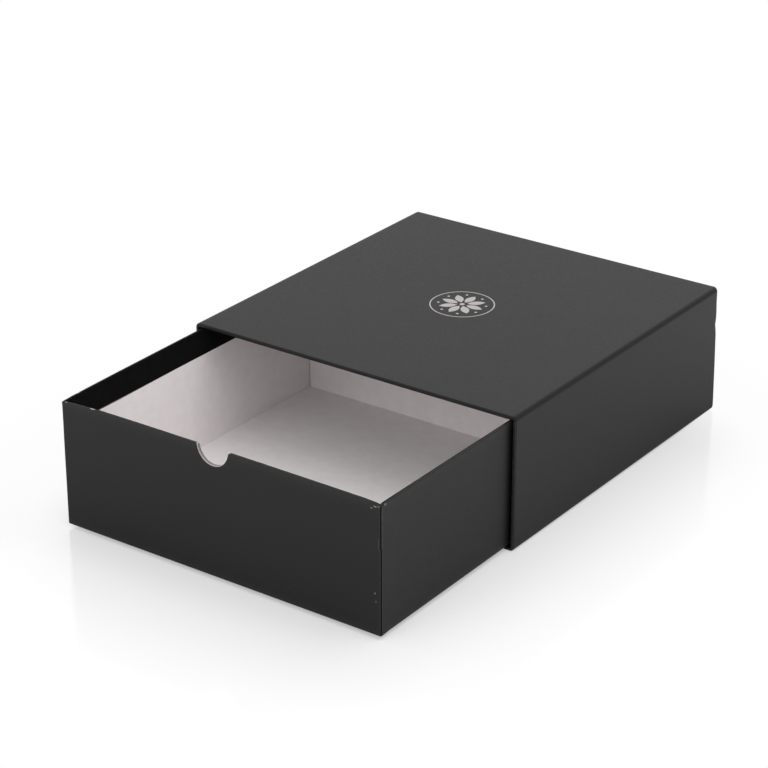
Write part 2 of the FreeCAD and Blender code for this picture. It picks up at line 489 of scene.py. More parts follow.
SLEEVE_FILM = LaminatedArtPaper()
DRAWER_FILM = LaminatedArtPaper(
    name="matt_laminated_black_art_paper_scuffed",
    # its folds are paler than the sleeve's: rubbed by handling, and a painted highlight along the rim
    # and corners
    rub=0.2,
    scuffs=(
        Scuff((108.6, -248.6, 80.9), (0.9, 0.5, 0.55), 0.16),
        Scuff((111.0, -248.6, 82.3), (1.2, 0.5, 0.5), 0.3),
        Scuff((113.2, -248.6, 82.8), (1.5, 0.5, 0.6), 0.1),
        Scuff((115.0, -244.6, 83.3), (0.5, 1.1, 0.6), 0.3),
        Scuff((-111.6, -247.6, 83.25), (0.9, 0.7, 0.5), 0.6),
        Scuff((-91.2, -247.7, 84.35), (2.4, 0.7, 0.5), 0.85),
        Scuff((-114.3, -234.6, 83.4), (0.6, 1.3, 0.5), 0.6),
        Scuff((113.2, -248.6, 59.6), (0.3, 0.4, 4.0), 0.06),
        Scuff((110.9, -248.6, 28.9), (0.6, 0.4, 0.6), 0.25),
        Scuff((111.5, -248.6, 23.9), (0.6, 0.4, 0.6), 0.15),
    ),
)
BARE_BLACK = UncoatedPaper("uncoated_black_paper", "#131213", "#0C0C0C", sheen=0.08)
BLACK_LINING = UncoatedPaper("black_lining_paper", "#191819", "#121112", sheen=0.2)
WHITE_LINING = UncoatedPaper("white_uncoated_lining_paper", "#F4EFEF", "#EDE7E7", relief=0.03)
PAPER_CORE = UncoatedPaper("cut_paper_core", "#E2DCDC", "#CCC5C5", fibre=0.4)
GREYBOARD = RecycledGreyboard()
KRAFT = UncoatedPaper("gummed_kraft_stay_tape", "#B18C5E", "#9A774C", fibre=0.9)
FOIL = HotStampedFoil()


def worn_sheet(
    node: str,
    finish: Finish,
    worn: Callable[[Vector], Vector],
    cuts: Iterable[tuple[int, float]],
) -> Object:
    """Copy a board or a lining so that it gives way as the worn box does.

    Args:
        node: The sheet's CAD node.
        finish: The sheet's finish.
        worn: Where wear leaves a point, in millimetres.
        cuts: Axis and place of each plane where the copy needs points to bend at.

    Returns:
        The copy, at the origin.
    """
    shape = bmesh.new()
    shape.from_mesh(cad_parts[node].data)
    bmesh.ops.remove_doubles(shape, verts=shape.verts[:], dist=WELD * MM)
    for axis, place in cuts:
        across = Vector([float(n == axis) for n in range(3)])
        everything = shape.verts[:] + shape.edges[:] + shape.faces[:]
        bmesh.ops.bisect_plane(shape, geom=everything, plane_co=across * place * MM, plane_no=across)
    for vert in shape.verts:
        vert.co = worn(vert.co / MM) * MM
    mesh = to_mesh(shape, f"{node}_worn", finish)
    if "custom_normal" in mesh.attributes:
        mesh.attributes.remove(mesh.attributes["custom_normal"])
    mesh.shade_smooth()
    mesh.set_sharp_from_angle(angle=SHARP)
    return new_object(mesh.name, mesh)


# ---- paper skins ----


@dataclass
class Ring:
    """One closed loop of points round a skin, with how far each point lies on a fold."""

    points: list[Vector]
    folds: list[float]
    layer: Layer


@dataclass
class RoundedLoop:
    """A rectangle with rounded corners, walked the same way at every inset.

    Attributes:
        low: Lowest corner of the full rectangle.
        high: Highest corner of the full rectangle.
        across: Extra points along the two sides that run along the first axis.
        along: Extra points along the two sides that run along the second axis.
        arc_steps: Segments in each rounded corner.
    """

    low: tuple[float, float]
    high: tuple[float, float]
    across: Sequence[float]
    along: Sequence[float]
    arc_steps: int

    def walk(self, inset: float, radius: float) -> list[Place]:
        """Go once round the rectangle.

        Args:
            inset: How far the loop lies inside the full rectangle.
            radius: The corners' radius there.

        Returns:
            First coordinate, second coordinate, and one on a rounded corner or zero.
        """
        a0, b0 = [v + inset + radius for v in self.low]
        a1, b1 = [v - inset - radius for v in self.high]
        wide = [a0, *(min(max(v, a0), a1) for v in self.across), a1]
        tall = [b0, *(min(max(v, b0), b1) for v in self.along), b1]
        sides = (
            ([(a, b0 - radius) for a in wide], (a1, b0), -math.pi / 2),
            ([(a1 + radius, b) for b in tall], (a1, b1), 0.0),
            ([(a, b1 + radius) for a in reversed(wide)], (a0, b1), math.pi / 2),
            ([(a0 - radius, b) for b in reversed(tall)], (a0, b0), math.pi),
        )
        loop = []
        for side, (a, b), start in sides:
            ends = (0, len(side) - 1)
            loop += [(*point, 1.0 if n in ends else 0.0) for n, point in enumerate(side)]
            for step in range(1, self.arc_steps):
                turn = start + math.pi / 2 * step / self.arc_steps
                loop.append((a + radius * math.cos(turn), b + radius * math.sin(turn), 1.0))
        return loop


Level = tuple[float, float, float, Layer]  # a ring's inset, place, part on a fold and layer


def quarter(steps: int) -> list[tuple[float, float]]:
    """Sine and cosine at even steps from nought to a quarter turn."""
    turns = [math.pi / 2 * step / steps for step in range(steps + 1)]
    return [(math.sin(turn), math.cos(turn)) for turn in turns]


def smooth(piece: Object) -> Object:
    """Shade a solid sheet's folds round and its panels flat.

    Args:
        piece: The sheet.

    Returns:
        The same piece with its shading baked in.
    """
    piece.data.shade_smooth()
    piece.data.set_sharp_from_angle(angle=SHARP)
    weigh = piece.modifiers.new("flat panels", "WEIGHTED_NORMAL")
    weigh.keep_sharp = True
    weigh.weight = PANEL_WEIGHT
    return bake(piece)


@dataclass
class WrappedPart:
    """What the sleeve and the drawer share: greyboard walls under one wrap of thin paper.

    Attributes:
        body: The body that its pieces ride on.
        film: The finish of the wrap's printed side.
        closed: Whether the wrap starts with a closed base; its rings then wind outwards.
        low: The wrap's lowest corner.
        high: The wrap's highest corner.
    """

    body: Body
    film: Finish
    closed: bool
    low: Vector = field(init=False)
    high: Vector = field(init=False)
    paper: float = 0.15
    wall: float = 2.3
    wear_reach: float = 5.0

    def __post_init__(self) -> None:
        """Look up the wrap's corners."""
        self.low, self.high = corners(f"{self.body.value}_wrap")

    def hand_over(self, piece: Object, slot: Slot, node: str) -> None:
        """Give a finished piece to the frame and report it.

        Args:
            piece: The finished object, at the origin.
            slot: The record's slot; not used.
            node: The CAD node that it stands for.
        """
        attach(piece, self.body.value)
        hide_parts(node)
        log.info("%s: %d faces on %s", piece.name, len(piece.data.polygons), self.body.value)

    def rings(self) -> list[Ring]:
        """The wrap's rings, worn and with their folds marked."""
        raise NotImplementedError

    def worn(self, point: Vector) -> Vector:
        """Where making and handling leave a point of the wrap, or of a board under it."""
        raise NotImplementedError

    def layer_of(self, middle: Vector, layer: Layer) -> Layer | None:
        """What a face of the wrap shows at its middle, or None where the wrap is open."""
        raise NotImplementedError

    def loft(self) -> Object:
        """Loft the rings into one sheet of paper with its thickness.

        Returns:
            The wrap, still to be smoothed.
        """
        shape = bmesh.new()
        fold = shape.verts.layers.float.new("fold")
        rings = self.rings()
        rows = []
        for ring in rings:
            rows.append([shape.verts.new(point * MM) for point in ring.points])
            for vert, folded in zip(rows[-1], ring.folds):
                vert[fold] = folded
        count = len(rows[0])
        for low_row, high_row, ring in zip(rows, rows[1:], rings[1:]):
            for n in range(count):
                after = (n + 1) % count
                quad = [low_row[n], low_row[after], high_row[after], high_row[n]]
                middle = sum((v.co for v in quad), Vector()) / 4 / MM
                layer = self.layer_of(middle, ring.layer)
                if layer is not None:
                    face = shape.faces.new(quad if self.closed else quad[::-1])
                    face.material_index = layer.value
        if self.closed:
            shape.faces.new(rows[0][::-1])
        bmesh.ops.remove_doubles(shape, verts=shape.verts[:], dist=WELD * MM)
        loose = [v for v in shape.verts if not v.link_faces]
        bmesh.ops.delete(shape, geom=loose, context="VERTS")
        name = f"{self.body.value}_wrap_paper"
        piece = new_object(name, to_mesh(shape, name, self.film, BARE_BLACK, PAPER_CORE))
        solid = piece.modifiers.new("paper thickness", "SOLIDIFY")
        solid.thickness = self.paper * MM
        solid.offset = -1.0
        solid.use_even_offset = True
        solid.use_quality_normals = True
        solid.material_offset_rim = Layer.CORE.value
        return bake(piece)

    def bend_boards(self, cuts: Sequence[tuple[int, float]], *sides: str) -> None:
        """Stand boards that follow the worn wrap in for those of the CAD.

        Args:
            cuts: Axis and place of each plane where they bend.
            sides: The boards' sides.
        """
        for side in sides:
            node = f"{self.body.value}_{side}_board"
            self.hand_over(worn_sheet(node, GREYBOARD, self.worn, cuts), Slot.GREYBOARD, node)

    def dress(self, finish: Finish, kind: str, *places: str) -> None:
        """Give a finish to carried-over CAD nodes of one kind.

        Args:
            finish: The finish.
            kind: How the nodes' names end, such as "_tape".
            places: What stands before that, after the part's own name.
        """
        for place in places:
            node = f"{self.body.value}_{place}{kind}"
            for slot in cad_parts[node].material_slots:
                slot.material = finish.material()
            log.info("%s: %s", node, finish.name)


@dataclass
class Sleeve(WrappedPart):
    """The outer sleeve: boards, wrap, cover papers, linings and the foil ornament."""

    body: Body = Body.SLEEVE
    film: Finish = SLEEVE_FILM
    closed: bool = False
    edge_radius: float = 3.0
    mouth_radius: float = 1.0
    inner_fold: float = 0.35
    inner_corner: float = 0.3
    mouth_rub: float = 14.0  # the mouth's right end: rubbed by the drawer's right side, and painted far paler as painted light out of its shade
    turn_in: float = 15.0
    flap: float = 15.0
    arc_steps: int = 8
    inner_steps: int = 3
    mouth_steps: int = 6
    between: tuple[float, ...] = (0.25, 0.5, 0.75)  # extra rings, as parts of the length
    back_right_fold: Course = Course(  # its radius up its height: crisp, knocked, then soft
        (
            (0.0, 0.7), (6.0, 0.6), (14.0, 0.9), (23.0, 1.3), (32.0, 1.7), (41.0, 2.2), (54.4, 3.0),
            (58.8, 3.9), (61.5, 4.9), (64.8, 4.1), (67.7, 3.8), (70.7, 3.9), (76.6, 4.5), (87.3, 4.7),
        )
    )

    def loop(self) -> RoundedLoop:
        """Lay out the sleeve's cross-section.

        Returns:
            The loop, X across and Z along.
        """
        low, high, reach, flap = self.low, self.high, self.wear_reach, self.flap
        across = [low.x + reach, low.x + flap, low.x / 2, 0.0]
        across += [high.x / 2, high.x - flap, high.x - reach]
        along = [reach, flap, high.z - flap, high.z - reach]
        along += self.back_right_fold.places()[1:-1]
        return RoundedLoop((low.x, low.z), (high.x, high.z), across, sorted(along), self.arc_steps)

    def levels(self) -> list[Level]:
        """List the rings from the turned-in edge out over the mouth to the back flaps.

        Returns:
            Their levels along Y.
        """
        low, high, film, bare = self.low, self.high, Layer.FILM, Layer.BARE
        lip, fold, edge = self.mouth_radius, self.inner_fold, self.edge_radius
        start, end = low.y + self.wear_reach, high.y - self.wear_reach
        levels = [(self.wall, y, 0.0, bare) for y in (low.y + self.turn_in, start)]
        turns = quarter(self.inner_steps)
        levels += [(self.wall - fold * (1 - c), low.y + fold * (1 - s), 1.0, bare) for s, c in turns]
        turns = quarter(self.mouth_steps)
        levels += [(lip * (1 - s), low.y + lip * (1 - c), 1.0, film) for s, c in turns]
        middle = [start + (end - start) * part for part in self.between]
        flat = (start, low.y + self.flap, *middle, high.y - self.flap, end)
        levels += [(0.0, y, 0.0, film) for y in flat]
        turns = quarter(self.arc_steps)
        levels += [(edge * (1 - c), high.y - edge * (1 - s), 1.0, film) for s, c in turns]
        return levels + [(inset, high.y, 0.0, film) for inset in (self.wear_reach, self.flap)]

    def rings(self) -> list[Ring]:
        """Make the wrap's rings.

        Returns:
            The rings, worn and with their folds marked.
        """
        loop = self.loop()
        rings = []
        for inset, y, folded, layer in self.levels():
            floor = self.inner_corner if inset < self.edge_radius - NEAR else 0.0
            radius = max(self.edge_radius - inset, floor)
            if y < 0 and inset > self.wall - self.inner_fold - NEAR:
                radius = self.inner_corner
            walked = loop.walk(inset, radius)
            points = [self.worn(Vector((x, y, z))) for x, z, _ in walked]
            folds = [max(folded, on_corner) for _, _, on_corner in walked]
            # the mouth's right end is rubbed and painted far paler, painted light that lifts it out of
            # its shade
            folds = [self.mouth_rub if self.rubbed(p) else fold for p, fold in zip(points, folds)]
            rings.append(Ring(points, folds, layer))
        return rings

    def rubbed(self, point: Vector) -> bool:
        """Whether a point lies on the end of the mouth's right edge, which is rubbed and painted paler.
        """
        edge = point.x > self.high.x - self.wall - NEAR and point.y < self.low.y + self.inner_fold + NEAR
        return edge and self.inner_fold < point.z < self.high.z - self.wall

    def worn(self, point: Vector) -> Vector:
        """Turn the back right upright fold at its own radius at each height.

        Args:
            point: A point of the wrap, or of a board under it.

        Returns:
            The point on the fold as it is, knock and all.
        """
        high, radius = self.high, self.edge_radius
        level = min(max(point.z, radius), high.z - radius)
        out = point - Vector((high.x - radius, high.y - radius, level))
        if min(out.x, out.y) < -SAME or out.length < radius / 2:
            return point
        out.normalize()
        flat = math.hypot(out.x, out.y)
        wider = self.back_right_fold.at(point.z) - radius
        return point + Vector((out.x - flat, out.y - flat, 0.0)) * wider

    def layer_of(self, middle: Vector, layer: Layer) -> Layer | None:
        """Leave the base open between its flaps, and film the mouth's right end, which is rubbed and
        painted paler.

        Args:
            middle: A face's middle.
            layer: Its ring's layer.

        Returns:
            What the face shows, or None.
        """
        low, high, flap = self.low, self.high, self.flap
        across = low.x + flap < middle.x < high.x - flap
        if middle.z < NEAR and across and low.y + flap < middle.y < high.y - flap:
            return None
        return Layer.FILM if self.rubbed(middle) else layer

    def make(self) -> None:
        """Build the wrap and ornament, and finish the boards and papers that stay."""
        self.hand_over(smooth(self.loft()), Slot.BLACK_WRAP, "sleeve_wrap")
        low, high = corners("sleeve_foil_ornament")
        rosette = Rosette(centre=((low.x + high.x) / 2, (low.y + high.y) / 2, low.z))
        self.hand_over(rosette.build(), Slot.SILVER_FOIL, "sleeve_foil_ornament")
        cuts = [(2, height) for height in self.back_right_fold.places()]
        self.bend_boards(cuts, "top", "right", "back")
        self.dress(GREYBOARD, "_board", "bottom", "left")
        self.dress(SLEEVE_FILM, "_paper", "base", "back")
        self.dress(BLACK_LINING, "lining", "", "back_")
        self.dress(KRAFT, "_tape", "top_left", "top_right", "bottom_left", "bottom_right")


@dataclass
class FoilDie:
    """The shapes that the die stamps, as nodes.

    Attributes:
        add: Adds a node to the ornament's tree.
        given: The tree's named inputs.
    """

    add: Add
    given: NodeOutputs
    petal_cuts: tuple[int, int] = (25, 3)  # points along and across
    ring_cuts: tuple[int, int] = (121, 2)
    bead_points: int = 24
    eye_points: int = 40

    def spread(self, shape: Node, offset: float) -> Node:
        """Turn copies of a shape evenly about the centre.

        Args:
            shape: The shape to copy.
            offset: The first copy's turn, as a part of one step.

        Returns:
            The copies.
        """
        add, petals = self.add, self.given["Petals"]
        shifted = add("Math", add("GeometryNodeInputIndex"), offset, operation="ADD")
        part = add("Math", shifted, petals, operation="DIVIDE")
        turn = add("CombineXYZ", Z=add("Math", part, math.tau, operation="MULTIPLY"))
        points = add("GeometryNodePoints", petals)
        return add("GeometryNodeInstanceOnPoints", points, Instance=shape, Rotation=turn)

    def bent(self, strip: Node, x: Node, y: Node) -> Node:
        """Move a strip's points and merge those that meet.

        Args:
            strip: The flat strip.
            x: Each point's new X.
            y: Each point's new Y.

        Returns:
            The bent strip.
        """
        moved = self.add("GeometryNodeSetPosition", strip, Position=self.add("CombineXYZ", x, y))
        return self.add("GeometryNodeMergeByDistance", moved, Distance=NEAR * MM)

    def petals(self) -> Node:
        """Make pointed petals: a strip whose width swells and closes along its length.

        Returns:
            The round of petals.
        """
        add, inner = self.add, self.given["Petal inner radius"]
        strip = add("GeometryNodeMeshGrid", 1.0, 1.0, *self.petal_cuts)
        axes = add("SeparateXYZ", add("GeometryNodeInputPosition")).outputs
        length = add("Math", self.given["Petal outer radius"], inner, operation="SUBTRACT")
        share = add("Math", axes["X"], 0.5, operation="ADD")
        reach = add("Math", share, length, inner, operation="MULTIPLY_ADD")
        twice = add("Math", axes["X"], 2.0, operation="MULTIPLY")
        square = add("Math", twice, 2.0, operation="POWER")
        swell = add("Math", 1.0, square, operation="SUBTRACT")
        half = add("Math", swell, self.given["Petal half width"], operation="MULTIPLY")
        width = add("Math", half, 2.0, operation="MULTIPLY")
        across = add("Math", width, axes["Y"], operation="MULTIPLY")
        return self.spread(self.bent(strip, reach, across), 0.0)

    def beads(self) -> Node:
        """Make a round bead between each two petals.

        Returns:
            The round of beads.
        """
        add, given = self.add, self.given
        disc = add("GeometryNodeMeshCircle", self.bead_points, given["Bead radius"], fill_type="NGON")
        out = add("CombineXYZ", given["Bead circle radius"])
        return self.spread(add("GeometryNodeTransform", disc, Translation=out), 0.5)

    def eye(self) -> Node:
        """The disc in the middle."""
        radius = self.given["Eye radius"]
        return self.add("GeometryNodeMeshCircle", self.eye_points, radius, fill_type="NGON")

    def ring(self) -> Node:
        """Make the thin ring round the petals: a strip bent into a circle.

        Returns:
            The ring.
        """
        add, width = self.add, self.given["Ring width"]
        strip = add("GeometryNodeMeshGrid", 1.0, width, *self.ring_cuts)
        axes = add("SeparateXYZ", add("GeometryNodeInputPosition")).outputs
        turn = add("Math", axes["X"], math.tau, operation="MULTIPLY")
        middle = add("Math", width, 0.5, self.given["Ring radius"], operation="MULTIPLY_ADD")
        radius = add("Math", middle, axes["Y"], operation="SUBTRACT")
        x, y = [
            add("Math", radius, add("Math", turn, operation=part), operation="MULTIPLY")
            for part in ("COSINE", "SINE")
        ]
        return self.bent(strip, x, y)


@dataclass
class Rosette:
    """The hot-foil ornament on the sleeve's top, made by Geometry Nodes.

    Attributes:
        centre: Middle of the ornament's underside.
    """

    centre: Place
    petals: int = 8
    petal_inner_radius: float = 3.2
    petal_outer_radius: float = 15.0
    petal_half_width: float = 2.7
    bead_circle_radius: float = 15.4
    bead_radius: float = 0.9
    eye_radius: float = 1.7
    ring_radius: float = 20.0
    ring_width: float = 0.8
    foil_thickness: float = 0.04

    def inputs(self) -> dict[str, tuple[str, object]]:
        """List the tree's named inputs: one for each size, and the foil's material.

        Returns:
            Each input's kind of socket and its value.
        """
        lengths = {size.name: getattr(self, size.name) for size in fields(self)[2:]}
        given: dict[str, tuple[str, object]] = {"Petals": ("Int", self.petals)}
        given["Centre"] = ("Vector", [v * MM for v in self.centre])
        for name, length in lengths.items():
            given[name.replace("_", " ").capitalize()] = ("Float", length * MM)
        given["Foil"] = ("Material", FOIL.material())
        return given

    def build(self) -> Object:
        """Make the ornament and bake it to a plain mesh.

        Returns:
            The finished piece.
        """
        piece = new_object("foil_rosette", bpy.data.meshes.new("foil_rosette"))
        tree = bpy.data.node_groups.new("foil rosette", "GeometryNodeTree")
        face = tree.interface
        face.new_socket("Geometry", in_out="OUTPUT", socket_type="NodeSocketGeometry")
        stamp = piece.modifiers.new("hot stamp", "NODES")
        sockets = {
            name: face.new_socket(name, in_out="INPUT", socket_type=f"NodeSocket{kind}").identifier
            for name, (kind, _) in self.inputs().items()
        }
        self.lay(tree)
        stamp.node_group = tree
        for name, (_, value) in self.inputs().items():
            stamp[sockets[name]] = value
        bake(piece)
        shape = bmesh.new()
        shape.from_mesh(piece.data)
        bmesh.ops.recalc_face_normals(shape, faces=shape.faces[:])
        shape.to_mesh(piece.data)
        shape.free()
        return piece

    def lay(self, tree: NodeTree) -> None:
        """Lay the nodes that stamp, thicken, close and place the foil.

        Args:
            tree: The ornament's tree, with its sockets made.
        """
        add = partial(add_node, tree)
        given = add("NodeGroupInput").outputs
        die = FoilDie(add, given)
        flat, both = add("GeometryNodeJoinGeometry"), add("GeometryNodeJoinGeometry")
        for part in (die.petals(), die.beads(), die.eye(), die.ring()):
            tree.links.new(part.outputs[0], flat.inputs[0])
        real = add("GeometryNodeRealizeInstances", flat)
        thick = {"Offset_Scale": given["Foil thickness"], "Individual": False}
        for part in (add("GeometryNodeExtrudeMesh", real, **thick), add("GeometryNodeFlipFaces", real)):
            tree.links.new(part.outputs["Mesh"], both.inputs[0])
        weld = self.foil_thickness * FOIL_WELD * MM
        closed = add("GeometryNodeMergeByDistance", both, Distance=weld)
        placed = add("GeometryNodeTransform", closed, Translation=given["Centre"])
        realised = add("GeometryNodeRealizeInstances", placed)
        add("NodeGroupOutput", add("GeometryNodeSetMaterial", realised, Material=given["Foil"]))


@dataclass
class Drawer(WrappedPart):
    """The drawer: boards, one black wrap with its thumb notch, and white linings."""

    body: Body = Body.DRAWER
    film: Finish = DRAWER_FILM
    closed: bool = True
    edge_radius: float = 1.0
    rim_radius: float = 0.6
    turn_in: float = 17.0
    steps_in: tuple[float, ...] = (1.6, 2.4, 3.5, 5.0)  # extra points this far from a corner
    arc_steps: int = 9
    edge_steps: int = 6
    rim_steps: int = 4
    rim_rub: tuple[float, ...] = (0.1, 0.6, 0.9)  # how far the last rings below the rim are rubbed, and painted paler as a painted highlight
    tight_corner: float = 0.2  # the radius of the corners inside the wall
    joint_depth: float = 0.13
    joint_above: tuple[float, float] = (20.0, 70.0)  # its place in the rounding, degrees
    joint_below: tuple[float, float] = (40.0, 90.0)
    joint_play: float = 1.0  # degrees that a point may lie off the joint's sides
    joint_jog: float = 57.0  # the height between the two, where the knife was set again
    joint_below_rim: float = 1.6
    # painted highlight: how far the rounding past each joint is painted paler
    joint_rub: float = 7.0
    rim_settles: tuple[float, float] = (76.0, 82.0)  # the wave fades between these heights
    front_rim: Course = Course(  # the rim's rise over its length, from X
        (
            (-115.0, -1.1), (-110.0, -0.75), (-105.0, -0.3), (-100.0, 0.0), (-90.0, 0.3), (-60.0, 0.6),
            (0.0, 0.77), (30.0, 0.77), (76.0, 0.6), (103.0, 0.4), (110.0, 0.1), (115.0, -0.6),
        )
    )
    left_rim: Course = Course(  # the same from Y
        (
            (-248.6, -1.1), (-240.0, -0.7), (-225.0, -0.5),
            (-200.0, -0.3), (-150.0, -0.1), (-120.0, 0.0),
        )
    )
    right_rim: Course = Course(((-248.6, -0.6), (-244.0, -0.1), (-240.0, 0.0)))
    low_right_fold: Course = Course(  # its radius along Y
        ((-246.0, 1.0), (-240.0, 1.7), (-122.0, 2.5), (-60.0, 2.0), (-20.0, 1.0))
    )
    left_lining_top: Course = Course(((-246.0, -0.6), (-200.0, -0.6), (-150.0, 0.0)))
    lining_bends: float = 60.0
    notch_clear: float = 13.0  # half the width of the fine panel round the notch
    notch_under: float = 72.5  # its lower edge
    notch_radius: float = 11.2
    notch_depth: float = 9.9
    notch_offset: float = -1.3
    shoulder_radius: float = 1.0
    cut_chamfer: float = 0.15
    cut_overshoot: float = 1.0  # how far the cutter reaches past the wall
    cut_above: float = 3.0  # and past the rim

    def loop(self) -> RoundedLoop:
        """Lay out the drawer's plan.

        Returns:
            The loop, X across and Y along.
        """
        low, high = self.low, self.high
        across = self.front_rim.places()[1:-1]
        across += [self.notch_offset - self.notch_clear, self.notch_offset + self.notch_clear]
        courses = (self.left_rim, self.right_rim, self.low_right_fold)
        along = [place for course in courses for place in course.places()[1:]]
        for step in self.steps_in:
            across += [low.x + step, high.x - step]
            along += [low.y + step, high.y - step]
        ends = (low.x, low.y), (high.x, high.y)
        return RoundedLoop(*ends, sorted(across), sorted(along), self.arc_steps)

    def levels(self) -> list[Level]:
        """List the rings from the bottom up the walls and down inside the rim.

        Returns:
            Their levels along Z.
        """
        low, high, film, bare = self.low, self.high, Layer.FILM, Layer.BARE
        edge, rim, wall = self.edge_radius, self.rim_radius, self.wall
        turns = quarter(self.rim_steps)
        levels = [
            (edge * (1 - s), low.z + edge * (1 - c), 1.0, film) for s, c in quarter(self.edge_steps)
        ]
        plain = (low.z + self.wear_reach, (low.z + high.z) / 2, self.joint_jog, self.notch_under)
        levels += [(0.0, z, 0.0, film) for z in (*plain, self.rim_settles[0])]
        handled = (high.z - self.wear_reach, self.rim_settles[1], high.z - self.joint_below_rim)
        # these rings below the rim are rubbed, and painted paler as a painted highlight
        levels += [(0.0, z, rubbed, film) for z, rubbed in zip(handled, self.rim_rub)]
        levels += [(rim * (1 - c), high.z - rim * (1 - s), 1.0, film) for s, c in turns]
        levels.append((wall / 2, high.z, 1.0, film))
        levels += [(wall - rim * (1 - s), high.z - rim * (1 - c), 1.0, bare) for s, c in turns]
        inside = (*reversed(self.rim_settles), self.notch_under, high.z - self.turn_in)
        return levels + [(wall, z, 0.0, bare) for z in inside]

    def rings(self) -> list[Ring]:
        """Make the wrap's rings.

        Returns:
            The rings, worn, with the joints sunk, the folds marked and a highlight painted past each
            joint.
        """
        loop, low, high = self.loop(), self.low, self.high
        joint_top = high.z - self.joint_below_rim - NEAR
        rings = []
        for inset, z, folded, layer in self.levels():
            radius = max(self.edge_radius - inset, 0.0 if z < low.z + NEAR else self.tight_corner)
            walked = loop.walk(inset, radius)
            deep = inset == 0.0 and low.z + self.edge_radius <= z < joint_top
            points = [self.worn(Vector((x, y, z))) for x, y, _ in walked]
            if deep:
                points = [self.grooved(point) for point in points]
            folds = [max(folded, on_corner) for _, _, on_corner in walked]
            # paint a highlight onto the rounding past each joint, as paler film
            last = math.radians(self.joint(z)[1] - self.joint_play)
            past_joint = radius * (1 - math.sin(last))
            for n, (x, _, on_corner) in enumerate(walked):
                if deep and on_corner and min(x - low.x, high.x - x) < past_joint:
                    folds[n] = self.joint_rub
            rings.append(Ring(points, folds, layer))
        return rings

    def corner_turn(self, point: Vector) -> float:
        """Measure how far round an upright corner a point lies.

        Args:
            point: A point of the wrap.

        Returns:
            Degrees from the front or back face, or a negative number off the corner.
        """
        beyond_x = self.edge_radius - min(point.x - self.low.x, self.high.x - point.x)
        beyond_y = self.edge_radius - min(point.y - self.low.y, self.high.y - point.y)
        if min(beyond_x, beyond_y) < SAME:
            return -1.0
        return math.degrees(math.atan2(beyond_x, beyond_y))

    def joint(self, height: float) -> tuple[float, float]:
        """Where the joint lies in the corner's rounding at a height, in degrees."""
        return self.joint_above if height > self.joint_jog else self.joint_below

    def grooved(self, point: Vector) -> Vector:
        """Sink the groove where the paper's joint runs down each upright corner.

        Args:
            point: A point of the outer face.

        Returns:
            The point, sunk if it lies on the joint.
        """
        turn = self.corner_turn(point)
        start, end = self.joint(point.z)
        if not start + self.joint_play < turn < end - self.joint_play:
            return point
        inward = Vector((-math.copysign(1, point.x), 0, 0)) * math.sin(math.radians(turn))
        middle = (self.low.y + self.high.y) / 2
        inward.y = math.copysign(1, middle - point.y) * math.cos(math.radians(turn))
        return point + inward * self.joint_depth

    def worn(self, point: Vector) -> Vector:
        """Wave the rim, crush its corners and roll the low right fold soft.

        Args:
            point: A point of the wrap, or of a board under it.

        Returns:
            The point where making and handling leave it.
        """
        low, high, radius = self.low, self.high, self.edge_radius
        walls = (
            (point.y - low.y, self.front_rim.at(point.x)),
            (point.x - low.x, self.left_rim.at(point.y)),
            (high.x - point.x, self.right_rim.at(point.y)),
            (high.y - point.y, 0.0),
        )
        start, end = self.rim_settles
        level = min(max((point.z - start) / (end - start), 0.0), 1.0)
        moved = point + Vector((0.0, 0.0, min(walls)[1] * level))
        across, down = point.x - high.x + radius, low.z + radius - point.z
        if min(across, down) > -SAME:
            wider = self.low_right_fold.at(point.y) - radius
            size = max(math.hypot(across, down), SAME)
            moved.x -= wider * (1 - across / size)
            moved.z += wider * (1 - down / size)
        return moved

    def trimmed(self, point: Vector) -> Vector:
        """Lower the left lining's top to where its sheet was trimmed.

        Args:
            point: A point of the lining.

        Returns:
            The point, lowered the more the nearer it lies to the top.
        """
        top = corners("drawer_left_lining")[1].z
        level = max(point.z - self.lining_bends, 0.0) / (top - self.lining_bends)
        return point + Vector((0.0, 0.0, self.left_lining_top.at(point.y) * level))

    def notch_outline(self, grown: float, shoulder_steps: int = 6, bowl_steps: int = 48) -> list[Vector]:
        """Draw the thumb notch's outline on the front face, left to right.

        Args:
            grown: How far the outline lies outside the clean cut.
            shoulder_steps: Segments round each shoulder.
            bowl_steps: Segments round the bowl.

        Returns:
            Points down the left shoulder, round the notch and up the right shoulder.
        """
        centre_z = self.high.z - self.notch_depth + self.notch_radius
        small_z = self.high.z - self.shoulder_radius
        rise = centre_z - small_z
        small_x = math.sqrt((self.notch_radius + self.shoulder_radius) ** 2 - rise**2)
        lean = math.atan2(rise, small_x)
        small = self.shoulder_radius - grown
        large = self.notch_radius + grown
        right = []
        for step in range(shoulder_steps + 1):
            turn = math.pi / 2 + (lean - math.pi / 2) * step / shoulder_steps
            right.append((small_x - small * math.cos(turn), small_z + small * math.sin(turn)))
        bowl = []
        for step in range(1, bowl_steps):
            turn = -lean + (2 * lean - math.pi) * step / bowl_steps
            bowl.append((large * math.cos(turn), centre_z + large * math.sin(turn)))
        outline = [(-x, z) for x, z in right] + bowl[::-1] + right[::-1]
        return [Vector((self.notch_offset + x, self.low.y, z)) for x, z in outline]

